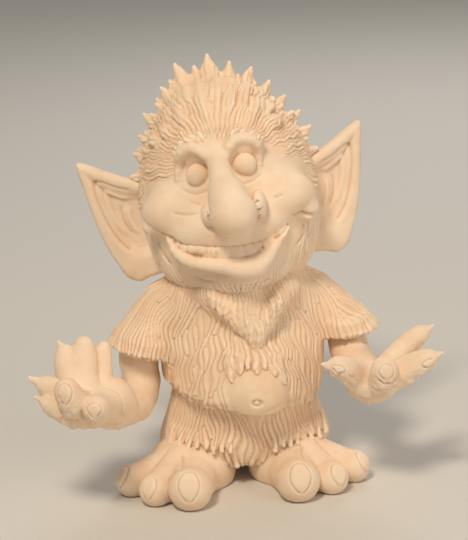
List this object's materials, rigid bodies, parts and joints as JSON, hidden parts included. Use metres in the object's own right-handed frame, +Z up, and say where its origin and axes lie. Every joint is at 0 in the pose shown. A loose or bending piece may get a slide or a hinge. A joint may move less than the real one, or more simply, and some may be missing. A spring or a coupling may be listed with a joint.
{
  "type": "ceramic troll figurine",
  "caption": "Standing bisque troll figurine with a spiky mane, pointed ears, a grin, a furry tunic, open upturned hands and broad bare feet; a free-standing ornament.",
  "frame": {"origin": "on the floor, under the middle of the figure's outline", "axes": "+Z up, -Y the way the figure faces, +X towards the figure's left hand"},
  "size_m": [0.2502, 0.152, 0.2554],
  "materials": {
    "bisque_fur": "unglazed matt bisque with combed fur grooves",
    "bisque_skin": "unglazed matt bisque, sponged smooth"
  },
  "bodies": {
    "root": {"torso": "bisque_fur", "head": "bisque_skin", "nose": "bisque_skin", "mane": "bisque_fur", "ear_right": "bisque_skin", "ear_left": "bisque_skin", "arm_right": "bisque_skin", "arm_left": "bisque_skin", "hand_right": "bisque_skin", "hand_left": "bisque_skin", "foot_right": "bisque_skin", "foot_left": "bisque_skin"}
  },
  "joints": []
}
